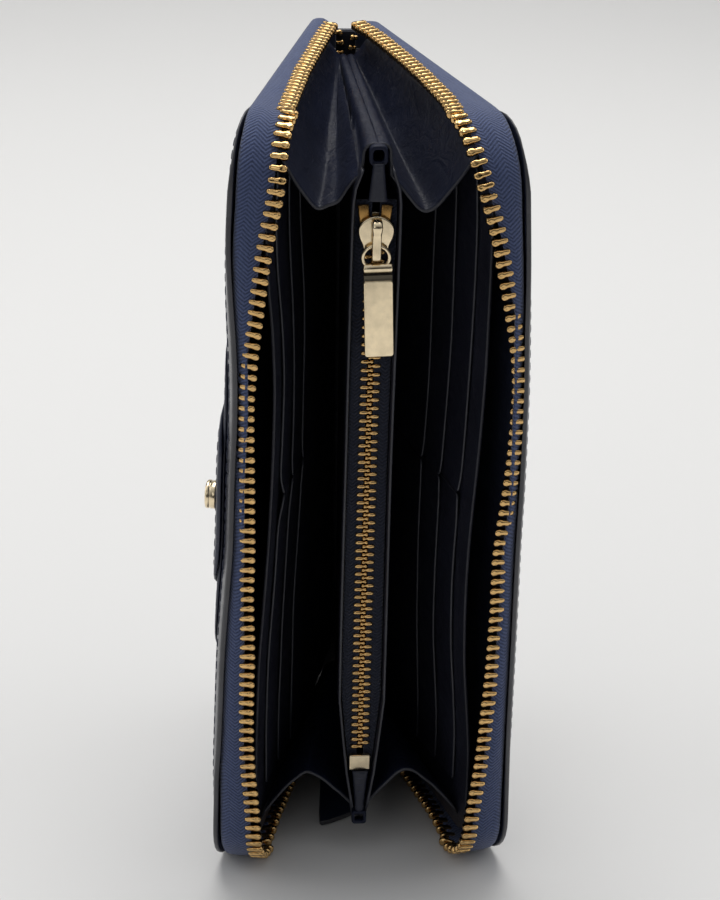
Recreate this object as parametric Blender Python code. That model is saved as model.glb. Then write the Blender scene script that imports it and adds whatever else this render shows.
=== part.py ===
"""Zip-around wallet: subcomponents as closed solids. Millimetres in the helpers, metres in the meshes.
+Z is the wallet's long edge, standing on one short end; the zip opening faces -Y and the spine is at +Y."""
import bpy
import bmesh
import math

for o in list(bpy.data.objects):
    bpy.data.objects.remove(o, do_unlink=True)

MM = 0.001
L = 196.0                 # head of a cover
FOOT = -5.5               # foot of a cover, in the same scheme: a cover is 201.5 mm long
U = 97.0                  # spine fold to zip edge, along a cover
HX, HD = 8.0, 94.0        # cover hinge: half spine width, depth behind the front plane
TH = math.radians(16.3)   # cover angle from the middle plane
CX, CD = 5.6, 88.0        # card panel hinge
TC = math.radians(13.56)
OFFX, OFFD, OFFZ = 1.3189, 48.0707, 5.5  # puts the middle of the whole object's foot on the origin


def solid(name, verts, faces):
    me = bpy.data.meshes.new(name)
    me.from_pydata([((x + OFFX) * MM, (d - OFFD) * MM, (z + OFFZ) * MM) for x, d, z in verts], [], faces)
    bm = bmesh.new()
    bm.from_mesh(me)
    bmesh.ops.recalc_face_normals(bm, faces=bm.faces)
    bm.to_mesh(me)
    bm.free()
    ob = bpy.data.objects.new(name, me)
    bpy.context.scene.collection.objects.link(ob)
    return ob


def loft(name, rings, closed=False):
    """Rings of equal length joined by quads; both ends capped unless the loft closes on itself."""
    n, m = len(rings[0]), len(rings)
    verts = [p for r in rings for p in r]
    faces = []
    for k in range(m if closed else m - 1):
        a, b = k * n, ((k + 1) % m) * n
        for i in range(n):
            j = (i + 1) % n
            faces.append((a + i, a + j, b + j, b + i))
    if not closed:
        faces.append(tuple(range(n)))
        faces.append(tuple((m - 1) * n + i for i in range(n)))
    return solid(name, verts, faces)


def cover(s, u, z, w):
    """A point on side s (-1 left, 1 right): u from the fold, z up, w inwards from the cover's plane."""
    return (s * (HX + u * math.sin(TH) - w * math.cos(TH)), HD - u * math.cos(TH) - w * math.sin(TH), z)


def card(s, u, z, w):
    return (s * (CX + u * math.sin(TC) - w * math.cos(TC)), CD - u * math.cos(TC) - w * math.sin(TC), z)


def outline(u0, u1, z0, z1, r, rb=0.0, n=6):
    """Rounded rectangle in (u, z): radius r at the u1 corners, rb at the u0 corners."""
    pts = []
    for cu, cz, a0, rr in ((u1, z0, -90, r), (u1, z1, 0, r), (u0, z1, 90, rb), (u0, z0, 180, rb)):
        su = -1 if cu == u1 else 1
        sz = 1 if cz == z0 else -1
        if rr <= 0:
            pts.append((cu, cz))
            continue
        for k in range(n + 1):
            a = math.radians(a0 + 90.0 * k / n)
            pts.append((cu + su * rr + rr * math.cos(a), cz + sz * rr + rr * math.sin(a)))
    return pts


def slab(name, place, s, pts, w0, w1):
    return loft(name, [[place(s, u, z, w) for u, z in pts] for w in (w0, w1)])


def upright(name, prof, z0, z1):
    """A plan profile of (x, depth) raised from z0 to z1."""
    return loft(name, [[(x, d, z) for x, d in prof] for z in (z0, z1)])


def block(name, x0, x1, d0, d1, z0, z1):
    return upright(name, [(x0, d0), (x1, d0), (x1, d1), (x0, d1)], z0, z1)


def lerp(x, table):
    for (a, va), (b, vb) in zip(table, table[1:]):
        if x <= b:
            t = (x - a) / (b - a)
            t = max(0.0, min(1.0, t))
            return va + (vb - va) * t
    return table[-1][1]


# ---------------------------------------------------------------- zip path round three sides of a cover
INB, INT = FOOT + 2.9, 1.0               # the zip wall is set in from the leather's edge: at the foot, where the slider and pull need room, and at the head
UF = U - 1.0
RB, RT = 14.0, 15.0
ZF, ZT = FOOT + 1.3, L - INT             # the foot run dips to ZF before its corner
RUNB, RUNT = UF - RB - 3.0, UF - RT - 3.0
ARCB, ARCT = math.pi / 2 * RB, math.pi / 2 * RT
FRONT = ZT - RT - ZF - RB
TOTAL = RUNB + ARCB + FRONT + ARCT + RUNT


def path(t):
    """Distance along the zip from the foot of the spine: (u, z), then the unit direction into the cover."""
    if t <= RUNB:
        u = 3.0 + t
        f = max(0.0, min(1.0, (u - 71.0) / 9.0))
        return u, INB + (ZF - INB) * f * f * (3 - 2 * f), 0.0, 1.0
    t -= RUNB
    if t <= ARCB:
        a = -math.pi / 2 + t / RB
        return UF - RB + RB * math.cos(a), ZF + RB + RB * math.sin(a), -math.cos(a), -math.sin(a)
    t -= ARCB
    if t <= FRONT:
        return UF, ZF + RB + t, -1.0, 0.0
    t -= FRONT
    if t <= ARCT:
        a = t / RT
        return UF - RT + RT * math.cos(a), ZT - RT + RT * math.sin(a), -math.cos(a), -math.sin(a)
    t -= ARCT
    return UF - RT - t, ZT, 0.0, -1.0


FOOT_W = [(3.0, 6.6), (80.0, 8.8)]
HEAD_W = [(3.0, 4.6), (15.0, 5.4), (34.0, 6.9), (50.0, 8.0), (70.0, 8.8)]
FRONT_W = [(ZF, 8.8), (25, 8.5), (40, 6.9), (57, 5.6), (79, 4.4), (101, 3.7), (122, 3.4), (140, 3.6), (157, 4.9), (171, 6.8), (182, 8.6), (ZT, 8.8)]


def tooth_w(t):
    """How far inwards of the cover the middle of the teeth stands. The tape rolls back in the middle of the long edge."""
    u, z = path(t)[:2]
    if t < RUNB:
        return lerp(u, FOOT_W)
    if t > TOTAL - RUNT:
        return lerp(u, HEAD_W)
    return lerp(z, FRONT_W)


def zpoint(s, t, p, w):
    u, z, nu, nz = path(t)
    return cover(s, u + nu * p, z + nz * p, w)


def stations():
    st = [0.0, RUNB * 0.4, 68.0, 70.5, 73.0, RUNB]
    st += [RUNB + ARCB * k / 6 for k in range(1, 7)]
    st += [RUNB + ARCB + FRONT * k / 14 for k in range(1, 15)]
    st += [RUNB + ARCB + FRONT + ARCT * k / 6 for k in range(1, 7)]
    st += [TOTAL - RUNT + RUNT * k / 5 for k in range(1, 6)]
    return st


PITCH = 2.65


def comb(name, place, t0, t1, first, pitch, width, low, mid, tip, p0, p1):
    """A row of teeth on a cord, as one solid. place(t, p, w); low, mid and tip are functions of t."""
    marks, tooth = [t0], []
    c = first
    while c + width / 2 < t1 - 0.1:
        marks += [c - width / 2, c + width / 2]
        tooth += [False, True]
        c += pitch
    marks.append(t1)
    tooth.append(False)
    verts, faces = [], []
    for t in marks:
        for f in (low, mid):
            verts += [place(t, p0, f(t)), place(t, p1, f(t))]
    for k in range(len(marks) - 1):
        a, b = 4 * k, 4 * (k + 1)
        faces += [(a, a + 1, b + 1, b), (a, b, b + 2, a + 2), (a + 1, a + 3, b + 3, b + 1)]
        if tooth[k]:
            i = len(verts)
            for t in (marks[k], marks[k + 1]):
                verts += [place(t, p0, tip(t)), place(t, p1, tip(t))]
            faces += [(a + 2, b + 2, i + 2, i), (a + 3, i + 1, i + 3, b + 3), (i, i + 2, i + 3, i + 1), (a + 2, i, i + 1, a + 3), (b + 2, b + 3, i + 3, i + 2)]
        else:
            faces.append((a + 2, b + 2, b + 3, a + 3))
    faces.append((0, 2, 3, 1))
    e = 4 * (len(marks) - 1)
    faces.append((e, e + 1, e + 3, e + 2))
    return solid(name, verts, faces)


# ---------------------------------------------------------------- covers, zip tape and teeth
for s, side in ((-1, "left"), (1, "right")):
    slab("cover_leather_" + side, cover, s, outline(1.2, U, FOOT, L, 16.0, 5.0), -1.3, 0.0)
    slab("cover_board_" + side, cover, s, outline(3.0, UF - 8.2, INB + 8.2, ZT - 8.2, 8.0), 0.3, 0.9)
    slab("cover_lining_" + side, cover, s, outline(2.5, UF - 1.4, INB + 1.4, ZT - 1.4, 13.0), 1.2, 1.9)
    rings = []
    for t in stations():
        top = tooth_w(t) - 2.35
        rings.append([zpoint(s, t, 7.6, 0.3), zpoint(s, t, 0.0, 0.3), zpoint(s, t, 0.0, top), zpoint(s, t, 0.6, top), zpoint(s, t, 0.6, 0.9), zpoint(s, t, 7.6, 0.9)])
    loft("zip_tape_" + side, rings)
    comb("zip_teeth_" + side, lambda t, p, w, s=s: zpoint(s, t, p, w), 0.3, TOTAL - 0.3, 1.6 if s < 0 else 1.6 + PITCH / 2, PITCH, 1.05,
         lambda t: tooth_w(t) - 2.0, lambda t: tooth_w(t) - 0.9, lambda t: tooth_w(t) + 2.0, -0.55, 1.15)

# ---------------------------------------------------------------- card panels: one partition and three stepped rows of two slots a side
for s, side in ((-1, "left"), (1, "right")):
    slab("card_partition_" + side, card, s, outline(0.6, 82.5, 0.5, 190.5, 6.0), 0.0, 0.8)
    for k, top in enumerate((75.5, 65.0, 54.5)):
        w = 1.05 + 0.85 * k
        for half, z0, z1 in (("lower", 14.0, 97.7), ("upper", 98.3, 182.0)):
            slab("card_slot_%d_%s_%s" % (k + 1, half, side), card, s, outline(3.0, top, z0, z1, 1.2, n=2), w, w + 0.6)

# ---------------------------------------------------------------- spine
def arc_profile(half, d0, rise, thick, n=10):
    out, inn = [], []
    for k in range(n + 1):
        a = math.pi * k / n
        x = -math.cos(a)
        y = math.sin(a) ** 0.8 if 0 < k < n else 0.0
        out.append((half * x, d0 + rise * y))
        inn.append(((half - thick) * x, d0 + (rise - thick) * y))
    return out + inn[::-1]


upright("spine_leather", arc_profile(9.2, HD - 0.4, 4.2, 1.3), FOOT + 2.0, 191.5)
upright("spine_lining", [(-6.6, HD - 1.3), (6.6, HD - 1.3), (6.6, HD - 0.6), (-6.6, HD - 0.6)], 0.5, 187.5)

# ---------------------------------------------------------------- coin pocket in the middle
CF = 9.0                          # depth of its front edges
COIN = [(5.1, CF), (5.0, CF + 5), (3.4, CF + 18), (1.9, CF + 32), (1.5, 78.0), (0.6, 90.0)]
Z0C, Z1C = 9.5, 182.5
PINCH = [(Z0C, 0.30), (20.0, 0.62), (31.0, 0.84), (42.0, 1.04), (60.0, 1.04), (110.0, 1.0), (168.0, 1.0), (174.6, 0.86), (178.0, 0.66), (Z1C, 0.30)]


def coin_x(d, z):
    """Half the pocket's inner width: it closes towards both ends and towards the spine."""
    k = lerp(z, PINCH)
    return max(0.45, lerp(d, [(b, a) for a, b in COIN]) * (k + (1.0 - k) * max(0.0, (d - CF - 10.0) / 90.0)))


for s, side in ((-1, "left"), (1, "right")):
    rings = []
    for z, _ in PINCH:
        inner = [(s * coin_x(d, z), d, z) for _, d in COIN]
        outer = [(s * (coin_x(d, z) + 0.9), d, z) for _, d in COIN]
        rings.append(inner + outer[::-1])
    loft("coin_panel_" + side, rings)
    rings = []
    for z in (19.0, 31.0, 42.0, 60.0, 110.0, 168.0, 174.6):
        xo = coin_x(12.5, z) - 0.25
        rings.append([(s * x, d, z) for x, d in ((xo, 11.9), (1.95, 11.9), (1.95, 12.5), (xo, 12.5))])
    loft("coin_tape_" + side, rings)
    block("coin_stop_top_" + side, min(s * 1.4, s * 3.8), max(s * 1.4, s * 3.8), 10.2, 11.6, 171.0, 174.4)
    comb("coin_teeth_" + side, lambda t, p, w, s=s: (s * (1.75 - w), 12.2 + p, t), 25.6, 169.6, 26.6 if s < 0 else 27.7, 2.2, 0.8,
         lambda t: 0.0, lambda t: 0.6, lambda t: 2.15, -0.85, 0.55)
block("coin_stop_bottom", -2.6, 2.6, 10.2, 11.6, 21.0, 25.0)
for name, d, zs in (("coin_end_top", 8.2, ((175.2, 2.3), (178.5, 1.5), (183.8, 0.9))), ("coin_end_bottom", 9.3, ((20.2, 2.3), (15.5, 1.5), (8.0, 0.9)))):
    loft(name, [[(-x, d, z), (x, d, z), (x, d + 1.0, z), (-x, d + 1.0, z)] for z, x in zs])

# small folded loops where the gussets meet the pocket's front corners
for name, z0 in (("loop_top", 184.6), ("loop_bottom", 4.7)):
    x0, x1, z1, b = -1.9, 1.9, z0 + 2.9, 0.8
    ring = lambda d: [(x0, d, z0), (x1, d, z0), (x1, d, z1), (x0, d, z1)]
    hole = lambda d: [(x0 + b, d, z0 + b), (x1 - b, d, z0 + b), (x1 - b, d, z1 - b), (x0 + b, d, z1 - b)]
    loft(name, [ring(9.4), ring(11.2), hole(11.2), hole(9.4)], closed=True)

# ---------------------------------------------------------------- gussets: one folded sheet each side at each end
def card_x(d):
    return CX + (CD - d) * math.tan(TC) - 0.8 / math.cos(TC)


for s, side in ((-1, "left"), (1, "right")):
    for end, sign, zo, zi in (("top", 1, 187.0, 184.6), ("bottom", -1, 5.4, 7.4)):
        rings = []
        for k in range(9):
            f = k / 8.0
            d = 11.5 + f * (77.0 - 11.5)
            xo, xi = card_x(d) - 0.35, 0.3
            xm = 0.5 * (xo + xi)
            h = 12.0 * (1 - f) ** 0.85 + 0.6
            base = [(xo, zo), (xo - 0.10 * (xo - xi), zo - sign * 0.12 * h), (xm + 0.12 * (xo - xi), zo - sign * 0.92 * h), (xm, zo - sign * h),
                    (xm - 0.12 * (xo - xi), zo - sign * 0.92 * h), (xi + 0.08 * (xo - xi), zi - sign * 0.10 * h), (xi, zi)]
            th = 0.7
            off = []
            for i, (x, z) in enumerate(base):
                a, b = base[max(0, i - 1)], base[min(len(base) - 1, i + 1)]
                tx, tz = b[0] - a[0], b[1] - a[1]
                m = math.hypot(tx, tz)
                nx, nz = -tz / m, tx / m
                if nz * sign < 0:
                    nx, nz = -nx, -nz
                off.append((x + nx * th if 0 < i < len(base) - 1 else x, z + (nz * th if 0 < i < len(base) - 1 else sign * th)))
            rings.append([(s * x, d, z) for x, z in base + off[::-1]])
        loft("gusset_%s_%s" % (end, side), rings)

# the meshed end of the main zip, tucked down inside the head of the spine
upright("zip_tail", [(-2.7, 89.6), (2.7, 89.6), (2.7, 91.4), (-2.7, 91.4)], 184.6, 193.2)

# ---------------------------------------------------------------- coin zip slider, link and pull tab
ZS = 166.5                        # middle of the slider
heart = [(-2.0, 4.0), (-3.9, 3.0), (-4.2, 0.8), (-3.4, -2.2), (-2.6, -4.0), (2.6, -4.0), (3.4, -2.2), (4.2, 0.8), (3.9, 3.0), (2.0, 4.0), (0.0, 3.0)]
loft("coin_slider_back", [[(x, d, ZS + z) for x, z in heart] for d in (13.1, 14.0)])
me = [[(x, d, ZS + z) for x, z in heart] for d in (9.9, 11.0)]
loft("coin_slider_front", me)
# bridge over the front plate, open underneath for the link
loft("coin_slider_bridge", [[(x, 9.6 - d, ZS + z) for d, z in ((0, -3.6), (2.0, -3.2), (2.5, -1.4), (2.5, 1.4), (1.8, 3.0), (0, 3.4), (0, 1.9), (1.3, 1.3), (1.6, -0.6), (1.4, -2.2), (0, -2.6))] for x in (-1.2, 1.2)])
# rectangular link hanging through the bridge
ZL = ZS - 1.2
lo = lambda d, g: [(-3.75 + g, d, ZL + 0.55 - g), (3.75 - g, d, ZL + 0.55 - g), (3.75 - g, d, ZL - 6.2 + g), (-3.75 + g, d, ZL - 6.2 + g)]
loft("coin_link", [lo(8.35, 0.0), lo(9.15, 0.0), lo(9.15, 0.9), lo(8.35, 0.9)], closed=True)
# flat tab, rolled over the link's lower bar
ZP = ZL - 5.75
prof = [(8.0, 1.4), (9.5, 1.4), (9.95, 0.9), (9.95, -0.9), (9.5, -1.4), (8.85, -1.8), (8.85, -4.0), (7.85, -4.0), (7.85, -1.8), (7.55, -1.4), (7.55, 1.0)]
slot = [(8.35, 0.95), (9.2, 0.95), (9.55, 0.6), (9.55, -0.7), (9.2, -1.0), (8.3, -1.0), (7.95, -0.7), (7.95, 0.6)]
verts, faces = [], []
for x in (-2.5, 2.5):
    verts += [(x, d, ZP + z) for d, z in prof] + [(x, d, ZP + z) for d, z in slot]
np_, ns = len(prof), len(slot)
N = np_ + ns
for i in range(np_):
    j = (i + 1) % np_
    faces.append((i, j, N + j, N + i))
for i in range(ns):
    j = (i + 1) % ns
    faces.append((np_ + j, np_ + i, N + np_ + i, N + np_ + j))
bm = bmesh.new()
rim = []
for poly in (prof, slot):
    vs = [bm.verts.new((d, z, 0)) for d, z in poly]
    rim += [bm.edges.new((vs[i], vs[(i + 1) % len(vs)])) for i in range(len(vs))]
bm.verts.index_update()
fill = bmesh.ops.triangle_fill(bm, use_beauty=True, edges=rim)
bm.verts.ensure_lookup_table()
for f in bm.faces:
    idx = [v.index for v in f.verts]
    faces.append(tuple(idx))
    faces.append(tuple(N + i for i in reversed(idx)))
bm.free()
pull = solid("coin_pull", verts, faces)
tab = [(-3.4, -1.7), (3.4, -1.7), (3.4, -20.6), (3.2, -21.3), (2.6, -21.6), (-2.6, -21.6), (-3.2, -21.3), (-3.4, -20.6)]
plate = loft("coin_pull_plate", [[(x, d, ZP + z) for x, z in tab] for d in (7.8, 8.9)])
plate.hide_render = True
plate.display_type = "WIRE"
join = pull.modifiers.new("tab", "BOOLEAN")
join.operation = "UNION"
join.solver = "EXACT"
join.object = plate

# ---------------------------------------------------------------- main zip slider at the foot of the spine, with its pull
DM = 84.0                         # depth of its middle
shield = [(-2.6, 5.0), (-4.4, 3.8), (-4.6, 1.0), (-3.6, -3.0), (-2.8, -4.6), (2.8, -4.6), (3.6, -3.0), (4.6, 1.0), (4.4, 3.8), (2.6, 5.0)]
loft("main_slider_outer", [[(x, DM + y, z) for x, y in shield] for z in (FOOT + 0.75, FOOT + 1.6)])
loft("main_slider_inner", [[(x, DM + y, z) for x, y in shield] for z in (FOOT + 4.6, FOOT + 5.4)])
lug = lambda z, g: [(-2.4 + g, DM - 5.0 - 4.6 + g, z), (2.4 - g, DM - 5.0 - 4.6 + g, z), (2.4 - g, DM - 5.0 - g, z), (-2.4 + g, DM - 5.0 - g, z)]
loft("main_link", [lug(FOOT + h, g) for h, g in ((0.8, 0.0), (1.6, 0.0), (1.6, 0.9), (0.8, 0.9))], closed=True)
slabs = [(-2.6, 73.8), (2.6, 73.8), (4.4, 60.0), (0.6, 27.6), (-0.6, 26.0), (-8.6, 21.6), (-9.7, 22.9), (-6.6, 60.0)]
loft("main_pull_tab", [[(x, d, z) for x, d in slabs] for z in (FOOT + 0.5, FOOT + 1.9)])

# ---------------------------------------------------------------- outside pocket on the left cover, its flap and snap
FZ = 100.0
slab("outer_pocket", cover, -1, outline(46.0, 92.0, FZ - 44.0, FZ + 44.0, 12.0, 3.0), -2.2, -1.4)
slab("flap", cover, -1, outline(38.0, 94.0, FZ - 26.0, FZ + 26.0, 14.0, 2.0), -3.5, -2.4)


def disc(name, u, z, rings, n=16):
    loft(name, [[cover(-1, u + r * math.cos(2 * math.pi * k / n), z + r * math.sin(2 * math.pi * k / n), w) for k in range(n)] for r, w in rings])


disc("stud_cap", 87.5, FZ, [(3.4, -3.7), (3.45, -5.2), (3.1, -5.9), (1.8, -6.3)])
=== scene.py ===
"""Looks of the zip-around wallet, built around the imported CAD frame.

Helpers work in millimetres in the CAD's own scheme:
s is the side (-1 left, 1 right), u runs from the spine fold to the zip edge, z is up,
w is inwards from a cover's plane, d is depth behind the front plane."""
import math

import bmesh
import bpy
import numpy as np
from mathutils import Matrix, Vector


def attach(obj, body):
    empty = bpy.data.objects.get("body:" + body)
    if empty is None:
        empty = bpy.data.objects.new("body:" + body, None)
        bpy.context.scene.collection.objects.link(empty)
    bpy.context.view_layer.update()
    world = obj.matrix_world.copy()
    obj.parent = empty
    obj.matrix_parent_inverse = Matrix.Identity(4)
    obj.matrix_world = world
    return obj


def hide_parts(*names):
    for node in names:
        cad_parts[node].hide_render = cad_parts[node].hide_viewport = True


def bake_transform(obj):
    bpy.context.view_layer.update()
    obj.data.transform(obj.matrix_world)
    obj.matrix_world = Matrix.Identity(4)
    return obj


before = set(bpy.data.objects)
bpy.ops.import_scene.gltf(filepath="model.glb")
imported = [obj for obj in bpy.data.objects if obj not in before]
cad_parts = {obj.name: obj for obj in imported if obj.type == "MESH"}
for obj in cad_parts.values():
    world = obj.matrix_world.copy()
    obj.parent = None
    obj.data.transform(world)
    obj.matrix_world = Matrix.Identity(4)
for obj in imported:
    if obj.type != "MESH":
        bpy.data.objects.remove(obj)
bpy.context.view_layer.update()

MM = 0.001
L, FOOT, U = 196.0, -5.5, 97.0
HX, HD = 8.0, 94.0
TH = math.radians(16.3)
CX, CD = 5.6, 88.0
TC = math.radians(13.56)
OFFX, OFFD, OFFZ = 1.3189, 48.0707, 5.5
MID = 98.0  # middle of the height
CORNER = 16.0  # the covers' outer corner radius
SKIN = 1.3  # the covers' outer leather
STITCH, SEAM_IN = 3.2, 3.3  # stitch pitch; the covers' stitch line, in from the rim
SIDES = ((-1, "left"), (1, "right"))
rng = np.random.default_rng(7)


def row(p):
    """Millimetres (x, depth, z) to the row frame in metres. The spine's head leans left and stands proud."""
    k = (max(0.0, p[2]) / L) ** 2 * clamp((p[1] - 20.0) / 74.0)
    return ((p[0] - 2.4 * k + OFFX) * MM, (p[1] - OFFD) * MM, (p[2] + 1.8 * k + OFFZ) * MM)


def clamp(x):
    return min(1.0, max(0.0, x))


def lerp(x, table):
    for (a, va), (b, vb) in zip(table, table[1:]):
        if x <= b:
            return va + (vb - va) * clamp((x - a) / (b - a))
    return table[-1][1]


def smooth(x, table):
    """Like lerp, rounded at the knots."""
    h = 5.0
    return (lerp(x - h, table) + 2 * lerp(x, table) + lerp(x + h, table)) / 4


# -------------------- soft shape of the covers and panels
ROLL = [(5, 0.5), (36, 3.0), (148, 3.0), (176, 0.5)]


def roll(u, z):
    """The long front margin is rolled inwards."""
    q = max(0.0, 1.0 - (U - u) / 9.0)
    return smooth(z, ROLL) * q * q


SWAY = {-1: [(0, -0.25), (15, -0.5), (25, -0.8), (40, -0.5), (60, -0.25), (74, 0.4), (90, 1.3), (110, 1.3),
             (125, 1.7), (137, 1.4), (146, 0.8), (155, 0.1), (167, -0.7), (180, -0.6), (190, -1.1),
             (196, -1.2)],
        1: [(5, 0.2), (40, 0.5), (70, 0.8), (90, 0.9), (106, 1.3), (130, 1.4), (145, 1.0), (160, 0.7),
            (175, 0.2), (196, 0.0)]}


def flare(s, u, z):
    """A cover stands a little wider at its foot than at its head, bellies, and its long edge wanders."""
    k = u / U
    head = max(0.0, (z - 150.0) / 46.0) ** 1.5
    belly = 0.7 * math.sin(math.pi * clamp(z / L)) * math.sin(math.pi * clamp(k))
    splay = 0.0195 * (MID - z) + 0.6 * smooth(z, ROLL) - 1.6 * head
    return s * (k * splay + belly) + max(0.0, k) * smooth(z, SWAY[s])


def cover(s, u, z, w):
    w += roll(u, z)
    return (s * (HX + u * math.sin(TH) - w * math.cos(TH)) + flare(s, u, z),
            HD - u * math.cos(TH) - w * math.sin(TH), z)


BOW = {-1: [(5, 2.6), (30, 2.6), (55, 2.0), (71, 0.9), (89, -0.2), (110, -1.0), (130, -1.3), (145, -0.6),
            (157, 0.6), (170, 1.2), (191, 0.6)],
       1: [(5, 3.4), (27, 3.2), (42, 1.9), (54, 0.8), (73, 0.3), (88, 0.5), (102, 1.2), (117, 1.9),
           (133, 2.3), (151, 2.3), (169, 2.2), (191, 1.0)]}


def card(s, u, z, w):
    """Card panels bow: their long edges curve out towards both ends."""
    out = smooth(z, BOW[s]) * (u / 80.0) ** 1.2 if u > 0 else 0.0
    return (s * (CX + u * math.sin(TC) - w * math.cos(TC) + out), CD - u * math.cos(TC) - w * math.sin(TC), z)


# -------------------- materials
def base_material(name, rough, metallic=0.0, spec=0.5):
    m = bpy.data.materials.new(name)
    m.use_nodes = True
    b = m.node_tree.nodes["Principled BSDF"]
    b.inputs["Roughness"].default_value = rough
    b.inputs["Metallic"].default_value = metallic
    b.inputs["Specular IOR Level"].default_value = spec
    return m, b


def add(m, kind, **props):
    n = m.node_tree.nodes.new(kind)
    for k, v in props.items():
        setattr(n, k, v)
    return n


def set_in(n, **vals):
    for k, v in vals.items():
        n.inputs[k.replace("_", " ")].default_value = v
    return n


def ramp(m, src, stops):
    r = add(m, "ShaderNodeValToRGB")
    el = r.color_ramp.elements
    while len(el) < len(stops):
        el.new(0.5)
    for e, (p, c) in zip(el, stops):
        e.position = p
        e.color = (*c, 1.0) if len(c) == 3 else c
    m.node_tree.links.new(src, r.inputs["Fac"])
    return r


def leather(name, lo, hi, rough=0.42, grain=1500.0, bump=0.25, wrinkle=0.15, spec=0.45, streak=0.0):
    """Grained leather: pebbles, pores, wrinkles, uneven dye, and with streak fine creases front to back."""
    m, b = base_material(name, rough, spec=spec)
    lk = m.node_tree.links
    tc = add(m, "ShaderNodeTexCoord")
    co = tc.outputs["Object"]
    big = set_in(add(m, "ShaderNodeTexNoise"), Scale=60.0, Detail=4.0, Roughness=0.6)
    cells = set_in(add(m, "ShaderNodeTexVoronoi", feature="SMOOTH_F1"), Scale=grain, Smoothness=0.7)
    fine = set_in(add(m, "ShaderNodeTexNoise"), Scale=grain * 2.2, Detail=3.0)
    fold = set_in(add(m, "ShaderNodeTexNoise"), Scale=170.0, Detail=5.0, Roughness=0.55, Distortion=1.2)
    for n in (big, cells, fine, fold):
        lk.new(co, n.inputs["Vector"])
    r = ramp(m, big.outputs["Fac"], [(0.3, lo), (0.72, hi)])
    lk.new(r.outputs["Color"], b.inputs["Base Color"])
    rr = ramp(m, fold.outputs["Fac"], [(0.3, (rough - 0.07,) * 3), (0.75, (rough + 0.1,) * 3)])
    lk.new(rr.outputs["Color"], b.inputs["Roughness"])
    mix = add(m, "ShaderNodeMath", operation="MULTIPLY_ADD")
    mix.inputs[1].default_value = 0.35
    lk.new(fine.outputs["Fac"], mix.inputs[0])
    lk.new(cells.outputs["Distance"], mix.inputs[2])
    b1 = set_in(add(m, "ShaderNodeBump"), Strength=bump, Distance=0.00025)
    b2 = set_in(add(m, "ShaderNodeBump"), Strength=wrinkle, Distance=0.0012)
    lk.new(mix.outputs[0], b1.inputs["Height"])
    lk.new(fold.outputs["Fac"], b2.inputs["Height"])
    if streak:
        mp = add(m, "ShaderNodeMapping")
        mp.inputs["Scale"].default_value = (1.0, 0.16, 0.55)
        lk.new(co, mp.inputs["Vector"])
        lines = set_in(add(m, "ShaderNodeTexNoise"), Scale=900.0, Detail=4.0, Roughness=0.6, Distortion=0.6)
        lk.new(mp.outputs["Vector"], lines.inputs["Vector"])
        b3 = set_in(add(m, "ShaderNodeBump"), Strength=streak, Distance=0.0006)
        lk.new(lines.outputs["Fac"], b3.inputs["Height"])
        lk.new(b3.outputs["Normal"], b2.inputs["Normal"])
    lk.new(b2.outputs["Normal"], b1.inputs["Normal"])
    lk.new(b1.outputs["Normal"], b.inputs["Normal"])
    return m


def metal(name, color, rough, scratch=0.06):
    m, b = base_material(name, rough, metallic=1.0)
    lk = m.node_tree.links
    tc = add(m, "ShaderNodeTexCoord")
    n = set_in(add(m, "ShaderNodeTexNoise"), Scale=420.0, Detail=4.0)
    f = set_in(add(m, "ShaderNodeTexNoise"), Scale=5200.0, Detail=2.0)
    for k in (n, f):
        lk.new(tc.outputs["Object"], k.inputs["Vector"])
    dark = tuple(c * 0.82 for c in color)
    r = ramp(m, n.outputs["Fac"], [(0.3, dark), (0.65, color)])
    lk.new(r.outputs["Color"], b.inputs["Base Color"])
    rr = ramp(m, f.outputs["Fac"], [(0.3, (rough * 0.8,) * 3), (0.7, (rough * 1.3,) * 3)])
    lk.new(rr.outputs["Color"], b.inputs["Roughness"])
    bp = set_in(add(m, "ShaderNodeBump"), Strength=scratch, Distance=0.0001)
    lk.new(f.outputs["Fac"], bp.inputs["Height"])
    lk.new(bp.outputs["Normal"], b.inputs["Normal"])
    return m


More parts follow.
